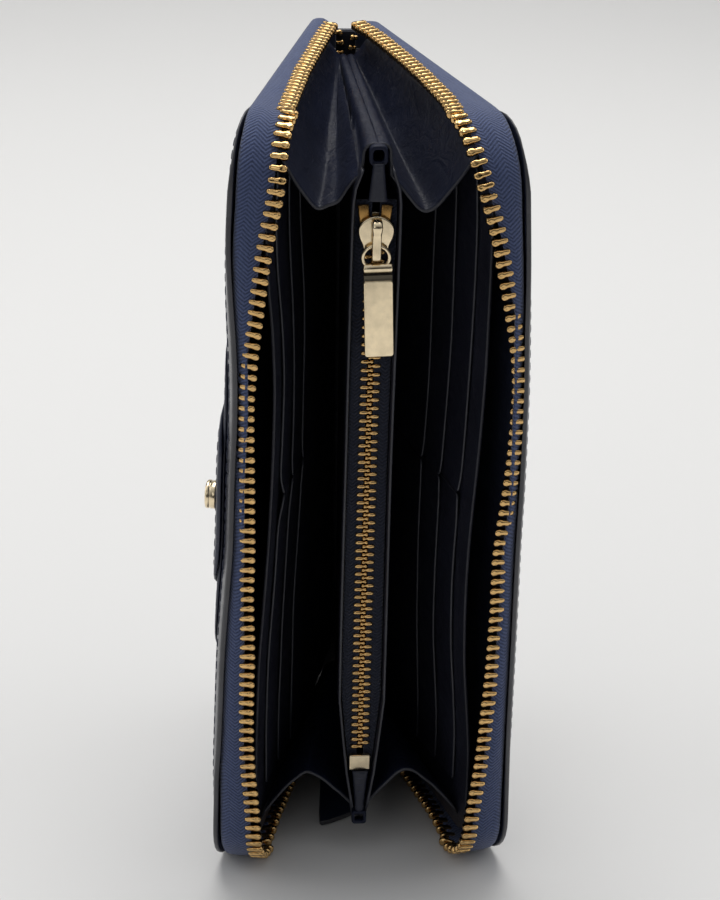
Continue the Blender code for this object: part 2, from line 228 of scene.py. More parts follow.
def woven(name, lo, hi):
    """Herringbone zip tape. The 'weave' attribute holds millimetres along and across the tape."""
    m, b = base_material(name, 0.85, spec=0.25)
    lk = m.node_tree.links
    at = add(m, "ShaderNodeAttribute", attribute_name="weave")
    sep = add(m, "ShaderNodeSeparateXYZ")
    lk.new(at.outputs["Vector"], sep.inputs["Vector"])

    def math_(op, a, c=None, v=None):
        n = add(m, "ShaderNodeMath", operation=op)
        lk.new(a, n.inputs[0])
        if c is not None:
            lk.new(c, n.inputs[1])
        if v is not None:
            n.inputs[1].default_value = v
        return n.outputs[0]

    across = math_("PINGPONG", sep.outputs["Y"], v=2.7)
    diag = math_("ADD", math_("MULTIPLY", sep.outputs["X"], v=1.0), math_("MULTIPLY", across, v=0.8))
    rib = math_("SINE", math_("MULTIPLY", diag, v=2 * math.pi / 0.95))
    rib01 = math_("MULTIPLY", math_("ADD", rib, v=1.0), v=0.5)
    noise = set_in(add(m, "ShaderNodeTexNoise"), Scale=2300.0, Detail=3.0, Roughness=0.7)
    tc = add(m, "ShaderNodeTexCoord")
    lk.new(tc.outputs["Object"], noise.inputs["Vector"])
    h = math_("ADD", math_("MULTIPLY", rib01, v=0.5), math_("MULTIPLY", noise.outputs["Fac"], v=1.0))
    r = ramp(m, h, [(0.40, lo), (1.0, hi)])
    lk.new(r.outputs["Color"], b.inputs["Base Color"])
    bp = set_in(add(m, "ShaderNodeBump"), Strength=0.8, Distance=0.00025)
    lk.new(h, bp.inputs["Height"])
    lk.new(bp.outputs["Normal"], b.inputs["Normal"])
    b.inputs["Sheen Weight"].default_value = 0.25
    b.inputs["Sheen Roughness"].default_value = 0.5
    return m


M_OUT = leather("outer_leather", (0.012, 0.016, 0.034), (0.022, 0.028, 0.055),
                rough=0.34, grain=1300.0, bump=0.25, spec=0.6)
M_IN = leather("inner_leather", (0.0085, 0.0090, 0.0165), (0.0140, 0.0150, 0.0265),
               rough=0.46, grain=1900.0, bump=0.22)
M_POCKET = leather("pocket_leather", (0.0095, 0.0115, 0.022), (0.015, 0.018, 0.034),
                   rough=0.42, grain=1900.0, bump=0.2, streak=0.15)
M_GUS = leather("gusset_leather", (0.0060, 0.0080, 0.0190), (0.0110, 0.0145, 0.0330),
                rough=0.45, grain=1700.0, bump=0.25, wrinkle=0.45, spec=0.17)
M_EDGE = leather("painted_edge", (0.034, 0.034, 0.040), (0.058, 0.058, 0.066),
                 rough=0.34, grain=900.0, bump=0.12, spec=0.55)
# painted sheen: a lighter copy of the outer leather for the rolled front margin, standing in for the grazing reflection
# of the bright backdrop there
M_SHEEN_MARGIN = leather("painted_sheen_margin", (0.050, 0.051, 0.060), (0.085, 0.086, 0.098),
                   rough=0.30, grain=1200.0, bump=0.15, spec=0.7)
M_EDGE_IN = leather("painted_edge_inner", (0.021, 0.022, 0.030), (0.034, 0.036, 0.047),
                    rough=0.42, grain=900.0, bump=0.1, spec=0.5)
M_TAPE = woven("zip_tape_weave", (0.022, 0.033, 0.078), (0.080, 0.108, 0.225))
M_TAPE_IN = woven("coin_tape_weave", (0.007, 0.009, 0.018), (0.015, 0.019, 0.038))
M_THREAD = leather("thread", (0.016, 0.020, 0.045), (0.04, 0.046, 0.085), rough=0.6, grain=5000.0, bump=0.5)
M_BRASS = metal("zip_brass", (0.78, 0.50, 0.205), 0.15)
M_AMBER = metal("stop_brass", (0.50, 0.28, 0.09), 0.30)
M_GOLD = metal("pale_gold", (0.97, 0.81, 0.55), 0.19)
M_SHADE = metal("shaded_gold", (0.115, 0.10, 0.075), 0.22)
M_BOARD = leather("fibre_board", (0.10, 0.10, 0.105), (0.15, 0.15, 0.155), rough=0.85, grain=3000.0)


# -------------------- mesh building
def make(name, verts, faces, mats, mat_idx=None, flat=False, weave=None):
    me = bpy.data.meshes.new(name)
    me.from_pydata([row(p) for p in verts], [], faces)
    for m in mats if isinstance(mats, (list, tuple)) else [mats]:
        me.materials.append(m)
    if mat_idx is not None:
        me.polygons.foreach_set("material_index", mat_idx)
    if weave is not None:
        a = me.attributes.new("weave", "FLOAT_VECTOR", "POINT")
        a.data.foreach_set("vector", np.array(weave, float).ravel())
    bm = bmesh.new()
    bm.from_mesh(me)
    bmesh.ops.recalc_face_normals(bm, faces=bm.faces)
    bm.to_mesh(me)
    bm.free()
    me.polygons.foreach_set("use_smooth", [not flat] * len(me.polygons))
    ob = bpy.data.objects.new(name, me)
    bpy.context.scene.collection.objects.link(ob)
    return ob


def put(ob, body, slot, *nodes):
    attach(ob, body)
    if nodes:
        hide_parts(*nodes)
    return ob


def bend(ob, a, b, start, end, slot, *nodes):
    row(start)
    row(end)
    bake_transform(ob)
    if nodes:
        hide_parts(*nodes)
    return ob


def spread(fine, n):
    """0..1, close together near both ends."""
    mid = list(np.linspace(fine[-1], 1 - fine[-1], n)[1:-1])
    return list(fine) + mid + [1 - f for f in reversed(fine)]


def span_of(u0, u1, z0, z1, r1, r0):
    """umin and umax of a rounded rectangle at height z, shrunk by inset."""
    def f(z, inset):
        def pull(r):
            if r <= inset:
                return inset
            q = max(z0 + r - z, z - (z1 - r), 0.0)
            rr = r - inset
            return r - math.sqrt(max(0.0, rr * rr - q * q)) if q > 0 else inset
        return u0 + pull(r0), u1 - pull(r1)
    return f


FINE = (0, .004, .01, .018, .028, .045, .07)


def panel(name, place, s, rect, w0, w1, mats, r1=4.0, r0=0.6, edge=0.3, nu=22, nz=46, dent=None, trim=0):
    """A leather panel with rounded, painted edges.

    dent(rim distance) sinks a groove into both faces; trim counts the columns of the outer face's front margin, which
    take the third material, a painted sheen."""
    u0, u1, z0, z1 = rect
    span = span_of(u0, u1, z0, z1, r1, r0)
    cols = spread(FINE, nu)
    corner = max(r1, r0, 1.0)
    zs = [corner * (1 - math.cos(a)) for a in np.linspace(0, math.pi / 2, 9)]
    zs = [z0 + q for q in zs] + list(np.linspace(z0 + corner, z1 - corner, nz))[1:-1] + [z1 - q for q in reversed(zs)]
    nr, nc = len(zs), len(cols)

    def grid(inset, w, dip):
        pts = []
        for z in zs:
            zz = min(max(z, z0 + inset), z1 - inset)
            a, b = span(zz, inset)
            for c in cols:
                u = a + (b - a) * c
                ww = w
                if dent is not None:
                    ww += dip * dent(min(u1 - u, zz - z0, z1 - zz))
                pts.append(place(s, u, zz, ww))
        return pts

    loop = list(range(nc)) + [r * nc + nc - 1 for r in range(1, nr)]
    loop += [(nr - 1) * nc + i for i in range(nc - 2, -1, -1)] + [r * nc for r in range(nr - 2, 0, -1)]
    t = abs(w1 - w0)
    e = min(edge, t * 0.49)
    lo, hi = min(w0, w1), max(w0, w1)
    A = grid(e, lo, 1.0)
    B = grid(e, hi, -1.0)
    verts = list(A) + list(B)
    n = len(A)
    faces, idx = [], []
    for r in range(nr - 1):
        for c in range(nc - 1):
            k = r * nc + c
            faces.append((k, k + nc, k + nc + 1, k + 1))
            faces.append((n + k, n + k + 1, n + k + nc + 1, n + k + nc))
            # material 2 on the outer face's last trim columns is the painted sheen of the front margin
            idx += [2 if trim and c >= nc - 1 - trim else 0, 0]
    prev = loop
    turn = [math.pi / 6 * q for q in range(4)]
    rings = [(e * (1 - math.sin(a)), lo + e * (1 - math.cos(a))) for a in turn[1:]]
    rings += [(e * (1 - math.cos(a)), hi - e * (1 - math.sin(a))) for a in turn[:-1] if a > 0 or t - 2 * e >= 1e-3]
    for inset, w in rings:
        g = grid(inset, w, 0.0)
        base = len(verts)
        verts += [g[k] for k in loop]
        cur = list(range(base, base + len(loop)))
        for i in range(len(loop)):
            j = (i + 1) % len(loop)
            faces.append((prev[i], prev[j], cur[j], cur[i]))
            idx.append(1)
        prev = cur
    last = [n + k for k in loop]
    for i in range(len(loop)):
        j = (i + 1) % len(loop)
        faces.append((prev[i], prev[j], last[j], last[i]))
        idx.append(1)
    return make(name, verts, faces, mats, idx)


def capsule(verts, faces, a, b, r, up, n=6, flat=0.7):
    """A thread stitch from a to b, in millimetres, lying on a surface whose normal is up."""
    a, b, up = Vector(a), Vector(b), Vector(up).normalized()
    side = (b - a).normalized().cross(up).normalized()
    turn = [2 * math.pi * i / n for i in range(n)]
    rings = []
    for f, k in ((0.0, 0.35), (0.12, 0.8), (0.5, 1.0), (0.88, 0.8), (1.0, 0.35)):
        c = a.lerp(b, f) + up * (-r * 0.55 if f in (0.0, 1.0) else 0.0)
        rings.append([c + side * (r * k * math.cos(g)) + up * (r * k * flat * math.sin(g)) for g in turn])
    rings_mesh(verts, faces, rings)


def stitch_run(verts, faces, pts, normal, r, length=2.5):
    """Stitches along a polyline of millimetre points."""
    P = [Vector(p) for p in pts]
    d = [0.0]
    for a, b in zip(P, P[1:]):
        d.append(d[-1] + (b - a).length)

    def at(x):
        for i in range(len(P) - 1):
            if x <= d[i + 1]:
                return P[i].lerp(P[i + 1], (x - d[i]) / max(1e-9, d[i + 1] - d[i]))
        return P[-1]

    count = int(d[-1] // STITCH)
    off = (d[-1] - count * STITCH) / 2
    for k in range(count):
        x = off + k * STITCH
        capsule(verts, faces, at(x + (STITCH - length) / 2), at(x + (STITCH + length) / 2), r, normal)


def rings_mesh(verts, faces, rings, closed=False, caps=True):
    """Rings of equal length joined by quads, added to verts and faces."""
    n, m, base = len(rings[0]), len(rings), len(verts)
    for r in rings:
        verts += [tuple(p) for p in r]
    for k in range(m if closed else m - 1):
        a, b = base + k * n, base + ((k + 1) % m) * n
        for i in range(n):
            j = (i + 1) % n
            faces.append((a + i, a + j, b + j, b + i))
    if caps and not closed:
        faces.append(tuple(base + i for i in range(n)))
        faces.append(tuple(base + (m - 1) * n + i for i in reversed(range(n))))


def loft(rings):
    verts, faces = [], []
    rings_mesh(verts, faces, rings)
    return verts, faces


def tube(verts, faces, pts, r, n=12, closed=False):
    """A round wire along pts."""
    P = [Vector(p) for p in pts]
    rings, ref = [], None
    m = len(P)
    for i, p in enumerate(P):
        a = P[(i - 1) % m] if closed or i else P[i]
        b = P[(i + 1) % m] if closed or i < m - 1 else P[i]
        t = (b - a).normalized()
        if ref is None:
            ref = Vector((0, 1, 0)) if abs(t.y) < 0.8 else Vector((1, 0, 0))
        e1 = (ref - t * ref.dot(t)).normalized()
        e2 = t.cross(e1)
        ref = e1
        rr = r[i] if isinstance(r, (list, tuple)) else r
        rings.append([tuple(p + e1 * (rr * math.cos(2 * math.pi * k / n)) + e2 * (rr * math.sin(2 * math.pi * k / n))) for k in range(n)])
    rings_mesh(verts, faces, rings, closed=closed)


def soft_plate(verts, faces, pts, place, lo, hi, edge=0.15, steps=3):
    """A flat plate with rounded rims: pts is a convex (a, b) outline, and place(a, b, h) sets it in space between heights lo and hi."""
    cx = sum(p[0] for p in pts) / len(pts)
    cy = sum(p[1] for p in pts) / len(pts)

    def shrink(d):
        out = []
        for i, (x, y) in enumerate(pts):
            (xa, ya), (xb, yb) = pts[i - 1], pts[(i + 1) % len(pts)]
            tx, ty = xb - xa, yb - ya
            g = math.hypot(tx, ty) or 1.0
            nx, ny = ty / g, -tx / g
            if (x - cx) * nx + (y - cy) * ny < 0:
                nx, ny = -nx, -ny
            out.append((x - nx * d, y - ny * d))
        return out

    rings = []
    for q in range(steps + 1):
        a = math.pi / 2 * q / steps
        rings.append([place(x, y, lo + edge * (1 - math.cos(a))) for x, y in shrink(edge * (1 - math.sin(a)))])
    for q in range(steps + 1):
        a = math.pi / 2 * q / steps
        rings.append([place(x, y, hi - edge * (1 - math.sin(a))) for x, y in shrink(edge * (1 - math.cos(a)))])
    rings_mesh(verts, faces, rings)


def rounded(x0, x1, y0, y1, r, n=5):
    out = []
    for cx, cy, a0 in ((x1 - r, y0 + r, -90), (x1 - r, y1 - r, 0), (x0 + r, y1 - r, 90),
                       (x0 + r, y0 + r, 180)):
        for k in range(n + 1):
            a = math.radians(a0 + 90 * k / n)
            out.append((cx + r * math.cos(a), cy + r * math.sin(a)))
    return out


# -------------------- zip path round three sides of a cover (as the CAD has it)
INB, INT = FOOT + 2.9, 1.0
UF = U - 1.0
RB, RT = 14.0, 15.0
ZF, ZT = FOOT + 1.3, L - INT
RUNB, RUNT = UF - RB - 3.0, UF - RT - 3.0
ARCB, ARCT = math.pi / 2 * RB, math.pi / 2 * RT
FRONT = ZT - RT - ZF - RB
TOTAL = RUNB + ARCB + FRONT + ARCT + RUNT
PITCH = 2.65


def path(t):
    """Distance along the zip from the foot of the spine: (u, z), then the unit direction into the cover."""
    if t <= RUNB:
        f = clamp((3.0 + t - 71.0) / 9.0)
        return 3.0 + t, INB + (ZF - INB) * f * f * (3 - 2 * f), 0.0, 1.0
    t -= RUNB
    if t <= ARCB:
        a = -math.pi / 2 + t / RB
        return UF - RB + RB * math.cos(a), ZF + RB + RB * math.sin(a), -math.cos(a), -math.sin(a)
    t -= ARCB
    if t <= FRONT:
        return UF, ZF + RB + t, -1.0, 0.0
    t -= FRONT
    if t <= ARCT:
        a = t / RT
        return UF - RT + RT * math.cos(a), ZT - RT + RT * math.sin(a), -math.cos(a), -math.sin(a)
    t -= ARCT
    return UF - RT - t, ZT, 0.0, -1.0


FOOT_W = [(3.0, 6.6), (80.0, 8.8)]
HEAD_W = {-1: [(3.0, 5.4), (15.0, 5.4), (35.0, 5.8), (50.0, 6.3), (70.0, 7.6), (79.0, 8.3)],
          1: [(3.0, 6.6), (15.0, 5.8), (35.0, 6.4), (50.0, 7.3), (70.0, 9.2), (79.0, 10.8)]}
FRONT_W = [(ZF, 9.2), (10, 9.2), (25, 8.7), (40, 7.3), (57, 6.0), (79, 4.8), (101, 4.1), (122, 3.8),
           (140, 4.0), (157, 5.3), (171, 7.2), (182, 8.8), (ZT, 8.9)]
ROW = {-1: [(5, 0.3), (14, 0.2), (22, -0.3), (30, -0.8), (40, -0.7), (48, -0.3), (58, 0.3), (65, 0.3),
            (75, -0.3), (90, -0.6), (106, -0.6), (114, -0.8), (122, -1.4), (130, -1.4), (138, -0.8),
            (146, 0.0), (153, 0.9), (165, 1.3), (181, 1.4), (188, 1.2), (196, 0.2)],
       1: [(5, 0.4), (12, 0.3), (21, -0.6), (30, -1.1), (40, -0.7), (50, -0.6), (65, -0.2), (75, 0.1),
           (84, 0.6), (92, 0.5), (100, 0.0), (106, -0.5), (114, -1.2), (122, -1.5), (130, -1.9), (138, -2.0),
           (145, -1.4), (152, -0.8), (160, -0.1), (167, -0.2), (175, 0.2), (181, 1.0), (188, 2.1),
           (196, 2.3)]}


def tooth_w(s, t):
    """Height of the tooth row's middle above the cover's plane; the tape rolls back along the middle of the long edge."""
    u, z = path(t)[:2]
    if t < RUNB:
        return lerp(u, FOOT_W) - roll(u, z)
    if t > TOTAL - RUNT:
        return lerp(u, HEAD_W[s]) - roll(u, z)
    lean_in = -0.35 * s * math.sin(math.pi * (z - ZF) / (ZT - ZF))
    return smooth(z, FRONT_W) + lean_in + 0.62 * smooth(z, ROLL) - roll(u, z) + 0.2 + smooth(z, ROW[s])


def zpoint(s, t, p, w):
    u, z, nu, nz = path(t)
    return cover(s, u + nu * p, z + nz * p, w)


def stations(step=2.2):
    ts = [0.0]
    while ts[-1] + step < TOTAL:
        ts.append(ts[-1] + step)
    return ts + [TOTAL]


FLAT = [(7.4, 0.62), (5.0, 0.62), (3.2, 0.62), (2.0, 0.64), (1.1, 0.72), (0.3, 0.92), (-0.25, 1.28),
        (-0.58, 1.8)]
TAPE_HALF = 0.26


def zip_tape(s, side):
    """Woven tape: sewn flat under the cover's edge, turned through a soft bend and up to the tooth row."""
    rings, weave = [], []
    for t in stations():
        hi = max(tooth_w(s, t) - 0.9, 2.6)
        wave = 0.16 + 0.12 * math.sin(t * 0.21 + s) + 0.08 * math.sin(t * 0.53)
        mid = list(FLAT)
        for q in range(1, 9):
            f = q / 8
            mid.append((-0.58 + 0.83 * f * f - wave * math.sin(math.pi * f), 1.8 + (hi - 1.8) * f))
        # at the head the bend hooks outwards over the leather's edge
        tuck = (0.7 if s > 0 else 0.0) * clamp((t - TOTAL + RUNT + ARCT) / 20.0)
        hook = 0.95 * clamp((t - TOTAL + RUNT + ARCT * 0.4) / 12.0)
        mid = [(p + tuck * max(0.0, 1.0 - abs(w - 1.8) / 4.0),
                w - hook * max(0.0, 1.0 - max(0.0, w - 0.9) / 2.2) * clamp((2.6 - p) / 1.6)) for p, w in mid]
        across = [0.0]
        for a, b in zip(mid, mid[1:]):
            across.append(across[-1] + math.hypot(b[0] - a[0], b[1] - a[1]))
        across = [x - across[-1] for x in across]
        inner, outer = [], []
        for i, (p, w) in enumerate(mid):
            a, b = mid[max(0, i - 1)], mid[min(len(mid) - 1, i + 1)]
            tx, tw = b[0] - a[0], b[1] - a[1]
            g = math.hypot(tx, tw) / TAPE_HALF
            inner.append((p + tw / g, w - tx / g))
            outer.append((p - tw / g, w + tx / g))
        rings.append([zpoint(s, t, p, w) for p, w in inner + outer[::-1]])
        weave += [(t, x, 0.0) for x in across + across[::-1]]
    return make("zip_tape_weave_" + side, *loft(rings), M_TAPE, weave=weave)


def add_tooth(verts, faces, frame_at, profile, n=12):
    """A tooth lofted from rounded rings; frame_at(a, p, h) places it.

    A ring is (h, half length along the chain, half depth, dimple in the outer face)."""
    rings = []
    for h, ha, hp, dip in profile:
        ring = []
        for i in range(n):
            g = 2 * math.pi * (i + 0.5) / n
            c, q = math.cos(g), math.sin(g)
            k = 0.98 / max(abs(c), abs(q)) ** 0.5
            ring.append(frame_at(ha * c * k, hp * q * k + (dip if q < -0.8 else 0.0), h))
        rings.append(ring)
    rings_mesh(verts, faces, rings)


# slim legs clamped over the tape's edge, then a broad dimpled head
TOOTH = [(-2.35, 0.32, 0.55, 0), (-2.15, 0.50, 0.85, 0), (-1.6, 0.60, 1.02, 0.12), (-0.9, 0.62, 1.08, 0.22),
         (-0.4, 0.63, 1.10, 0.06), (0.0, 0.70, 1.16, 0), (0.35, 0.79, 1.20, 0.05), (0.7, 0.82, 1.20, 0.36),
         (1.05, 0.80, 1.18, 0.36), (1.35, 0.74, 1.10, 0.08), (1.6, 0.62, 0.96, 0), (1.8, 0.46, 0.72, 0),
         (1.92, 0.22, 0.4, 0)]


def big_teeth(s, side):
    verts, faces = [], []
    t = 1.6 if s < 0 else 1.6 + PITCH / 2
    while t < TOTAL - 1.0:
        w = tooth_w(s, t)
        slope = math.atan((tooth_w(s, min(TOTAL, t + 1.0)) - tooth_w(s, max(0.0, t - 1.0))) / 2.0)
        ca, sa = math.cos(slope), math.sin(slope)
        jit = rng.normal(0, 0.03, 3)

        def at(a, p, h, t=t, w=w, ca=ca, sa=sa, jit=jit):
            tt = min(max(t + a * ca - h * sa + jit[0], 0.0), TOTAL)
            return zpoint(s, tt, p + 0.3 - 0.35 * clamp(-h / 1.5) + jit[2], w + a * sa + h * ca + jit[1])

        add_tooth(verts, faces, at, TOOTH)
        t += PITCH
    return make("zip_teeth_metal_" + side, verts, faces, M_BRASS)


def shell(s, u, z, w):
    """The leather is skived thin along its head and tucked under the tape's bend."""
    if w < 0:
        near = min(U - u, L - z)
        if u > U - CORNER and z > L - CORNER:
            near = CORNER - math.hypot(u - U + CORNER, z - L + CORNER)
        w *= 1.0 - 0.62 * max(0.0, 1.0 - near / 4.0) * clamp((z - L + CORNER) / 9.0)
    drop = (1.9 if s > 0 else 1.3) * max(0.0, (z - L + 9.0) / 9.0) * clamp((U - 4.0 - u) / 14.0)
    return cover(s, u, z - drop, w)


def seam(inset, depth):
    """The groove that a line of stitches pulls into a panel, inset from its rim."""
    return lambda rim: depth * math.exp(-((rim - inset) / 0.5) ** 2)


def cover_outline(x):
    """A point of the cover's stitch line, x millimetres along its three free sides."""
    r = CORNER - SEAM_IN
    side_len, arc, front = U - CORNER - 4, math.pi / 2 * r, L - FOOT - 2 * CORNER
    if x is None:
        return 2 * (side_len + arc) + front
    if x <= side_len:
        return 4 + x, FOOT + SEAM_IN
    x -= side_len
    if x <= arc:
        a = x / r - math.pi / 2
        return U - CORNER + r * math.cos(a), FOOT + CORNER + r * math.sin(a)
    x -= arc
    if x <= front:
        return U - SEAM_IN, FOOT + CORNER + x
    x -= front
    if x <= arc:
        a = x / r
        return U - CORNER + r * math.cos(a), L - CORNER + r * math.sin(a)
    return U - CORNER - (x - arc), L - SEAM_IN


for s, side in SIDES:
    body = side + "_cover"
    # outer leather, running on round the fold to the spine's edge
    # the outer face's last four columns along the front margin take the painted sheen, a lighter band standing in for
    # grazing reflection
    put(panel("cover_leather_shell_" + side, shell, s, (1.2, U, FOOT, L), -SKIN, 0.0,
              [M_OUT, M_EDGE, M_SHEEN_MARGIN], trim=4, r1=CORNER, r0=5.0, edge=0.45, dent=seam(SEAM_IN, 0.14),
              nu=30, nz=60),
        body, "outer_leather", "cover_leather_" + side)
    put(panel("cover_stiffener_" + side, cover, s, (3.0, UF - 8.2, INB + 8.2, ZT - 8.2), 0.3, 0.9,
              [M_BOARD, M_BOARD], r1=8.0, edge=0.1, nu=8, nz=12), body, "board", "cover_board_" + side)
    put(panel("cover_lining_leather_" + side, cover, s, (2.5, UF - 2.2, INB + 2.0, ZT - 2.2), 1.2, 1.9,
              [M_POCKET, M_EDGE_IN], r1=13.0, edge=0.25), body, "inner_leather", "cover_lining_" + side)
    put(zip_tape(s, side), body, "zip_tape", "zip_tape_" + side)
    put(big_teeth(s, side), body, "zip_metal", "zip_teeth_" + side)
    # stitching along the cover's three free sides
    verts, faces = [], []
    line = [cover(s, *cover_outline(q / 199 * cover_outline(None)), 0.08 - SKIN) for q in range(200)]
    out = (s * math.cos(TH), math.sin(TH), 0)
    stitch_run(verts, faces, line, out, r=0.30)
    put(make("cover_stitches_" + side, verts, faces, M_THREAD), body, "outer_leather")

# -------------------- spine
SPINE_HALF = 9.2


def arc_profile(half, d0, rise, thick, n=24):
    out, inn = [], []
    for k in range(n + 1):
        a = math.pi * k / n
        x = -math.cos(a)
        y = math.sin(a) ** 0.8 if 0 < k < n else 0.0
        out.append((half * x, d0 + rise * y))
        inn.append(((half - thick) * x, d0 + (rise - thick) * y))
    return out + inn[::-1]


def tower(name, prof, zs, mats, slot, *nodes, shape=lambda x, d, z: (x, d, z)):
    """A plan profile raised through heights zs; shape(x, d, z) may move points."""
    return put(make(name, *loft([[shape(x, d, z) for x, d in prof] for z in zs]), mats), "centre", slot,
               *nodes)


def spine_top(x, d, z):
    """The spine's ends are turned down at their corners."""
    k = abs(x) / SPINE_HALF
    return (x, d, 96.75 + (z - 96.75) * (1.0 - 0.012 * k ** 4))


tower("spine_outer", arc_profile(SPINE_HALF, HD - 0.4, 4.2, 1.3),
      [FOOT + 2.0, FOOT + 2.3, 0] + list(np.linspace(8, 184, 24)) + [188, 191.2, 191.5],
      M_OUT, "outer_leather", "spine_leather", shape=spine_top)
tower("spine_inner", [(-6.6, HD - 1.3), (6.6, HD - 1.3), (6.6, HD - 0.6), (-6.6, HD - 0.6)],
      list(np.linspace(0.5, 187.5, 12)), M_IN, "inner_leather", "spine_lining")

# the outer skin running on round each fold, from the spine to the cover
for s, side in SIDES:
    sec = []
    for q in range(9):
        a = 0.13 * math.pi * (1 - q / 8.0)
        a = math.pi - a if s < 0 else a
        sec.append((9.28 * math.cos(a), HD - 0.4 + 4.28 * max(0.0, math.sin(a)) ** 0.8))
    sec += [cover(s, u, MID, -1.42)[:2] for u in (1.6, 3.0, 5.0, 7.0)]
    rings = []
    for z in [FOOT + 2.3, FOOT + 3.0, 1.0] + list(np.linspace(8, 182, 24)) + [187.0, 190.4, 191.2]:
        out, inn = [], []
        for i, (x, d) in enumerate(sec):
            a, b = sec[max(0, i - 1)], sec[min(len(sec) - 1, i + 1)]
            tx, td = b[0] - a[0], b[1] - a[1]
            g = math.hypot(tx, td)
            nx, nd = -td / g, tx / g
            if nx * s < 0:
                nx, nd = -nx, -nd
            th = 0.30 * min(1.0, 0.12 + min(i, len(sec) - 1 - i) / 2.0)
            u = max(0.0, (HD - d) / math.cos(TH))
            shift = flare(s, u, z) - flare(s, u, MID)
            out.append((x + nx * th + shift, d + nd * th, z))
            inn.append((x + shift, d, z))
        rings.append(out + inn[::-1])
    bend(make("fold_skin_" + side, *loft(rings), M_OUT), "centre", side + "_cover",
         (s * 9.0, 95.0, 98.0), (s * 9.0, 89.5, 98.0), "outer_leather")

# -------------------- card panels
KINK = {-1: (1.1, 0.4, 0.3), 1: (0.5, 0.35, 0.3)}
for s, side in SIDES:
    body = side + "_card_panel"
    put(panel("card_partition_leather_" + side, card, s, (0.6, 82.5, 0.5, 190.5), 0.0, 0.8, [M_IN, M_IN],
              r1=6.0, edge=0.3),
        body, "inner_leather", "card_partition_" + side)
    for k, top in enumerate((75.5, 65.0, 54.5)):
        w = 1.05 + 0.85 * k
        for half, z0, z1, reach in (("lower", 14.0, 97.8, 5.5), ("upper", 98.2, 182.0, 3.2)):
            def place(s, u, z, ww, top=top, kink=KINK[s][k], reach=reach):
                near = clamp((u - top + 26.0) / 26.0) ** 2
                lift = kink * math.exp(-((z - MID) / reach) ** 2) + 0.10 * math.sin(z * 0.11 + top)
                return card(s, u, z, ww + near * lift)

            name = "card_slot_%d_%s_%s" % (k + 1, half, side)
            put(panel(name + "_leather", place, s, (3.0, top, z0, z1), w, w + 0.6, [M_IN, M_EDGE_IN], r1=1.4,
                      edge=0.28, nu=14, nz=34), body, "inner_leather", name)

# -------------------- coin pocket
CF = 9.0
COIN = [(5.1, CF), (5.0, CF + 5), (3.4, CF + 18), (1.9, CF + 32), (1.5, 78.0), (0.6, 90.0)]
Z0C, Z1C = 9.5, 182.5
PINCH = [(Z0C, 0.30), (20.0, 0.62), (31.0, 0.84), (42.0, 1.04), (60.0, 1.04), (110.0, 1.0), (168.0, 1.02),
         (174.6, 1.0), (178.0, 0.92), (Z1C, 0.62)]
COIN_PITCH = 2.2
COIN_TOOTH = [(-2.0, 0.3, 0.4, 0), (-1.85, 0.44, 0.55, 0), (-1.2, 0.50, 0.62, 0), (-0.35, 0.50, 0.62, 0),
              (-0.05, 0.30, 0.5, 0), (0.3, 0.28, 0.5, 0), (0.55, 0.42, 0.64, 0), (0.85, 0.46, 0.66, 0),
              (1.1, 0.38, 0.5, 0), (1.2, 0.18, 0.3, 0)]


def lean(z):
    """The pocket stands slightly off the middle."""
    return -0.35 * math.sin(math.pi * (z - Z0C) / (Z1C - Z0C))


def coin_x(d, z):
    k = lerp(z, PINCH)
    return max(0.45, lerp(d, [(b, a) for a, b in COIN]) * (k + (1.0 - k) * max(0.0, (d - CF - 10.0) / 90.0)))


for s, side in SIDES:
    ds = [CF, CF + 0.12, CF + 0.4, CF + 1.2, CF + 3, CF + 5, CF + 9, CF + 14, CF + 18, CF + 24, CF + 32, 50,
          60, 70, 78, 84, 90]
    zs = [Z0C, 12, 14.5, 17, 20, 25, 31, 36, 42] + list(np.linspace(50, 160, 18))
    zs += [165, 168, 171, 174.6, 176.5, 178, 180, 181.5, Z1C]
    ease = [0.25, 0.08] + [0.0] * (len(ds) - 2)
    rings = []
    for z in zs:
        inner = [(s * (coin_x(d, z) + g) + lean(z), d, z) for d, g in zip(ds, ease)]
        outer = [(s * (coin_x(d, z) + 0.72 - g) + lean(z), d, z) for d, g in zip(ds, ease)]
        rings.append(inner + outer[::-1])
    n = 2 * len(ds)
    idx = [int(i in (0, n - 2, n - 1)) for i in range(n)] * (len(zs) - 1) + [0, 0]
    put(make("coin_panel_leather_" + side, *loft(rings), [M_IN, M_EDGE_IN], idx), "centre", "inner_leather",
        "coin_panel_" + side)

    rings, weave = [], []
    cols = np.linspace(0, 1, 9)
    for z in np.linspace(19.0, 174.6, 60):
        xo, xi = coin_x(12.4, z) - 0.25, 0.9
        ring = []
        for d, part in ((11.95, cols), (12.45, cols[::-1])):
            ring += [(s * (xo + (xi - xo) * c) + lean(z), d + 0.21 * math.sin(math.pi * c), z) for c in part]
            weave += [(z, (1 - c) * (xo - xi), 0) for c in part]
        rings.append(ring)
    put(make("coin_tape_woven_" + side, *loft(rings), M_TAPE_IN, weave=weave), "centre", "zip_tape",
        "coin_tape_" + side)

    verts, faces = [], []
    z = 26.6 if s < 0 else 27.7
    while z < 169.3:
        jit = rng.normal(0, 0.02, 3)

        def at(a, p, h, z=z, jit=jit):
            return (s * (-h + 0.45) + lean(z) + jit[0], 12.1 + p, z + a + jit[1])

        add_tooth(verts, faces, at, COIN_TOOTH, n=10)
        z += COIN_PITCH
    put(make("coin_teeth_metal_" + side, verts, faces, M_BRASS), "centre", "zip_metal", "coin_teeth_" + side)


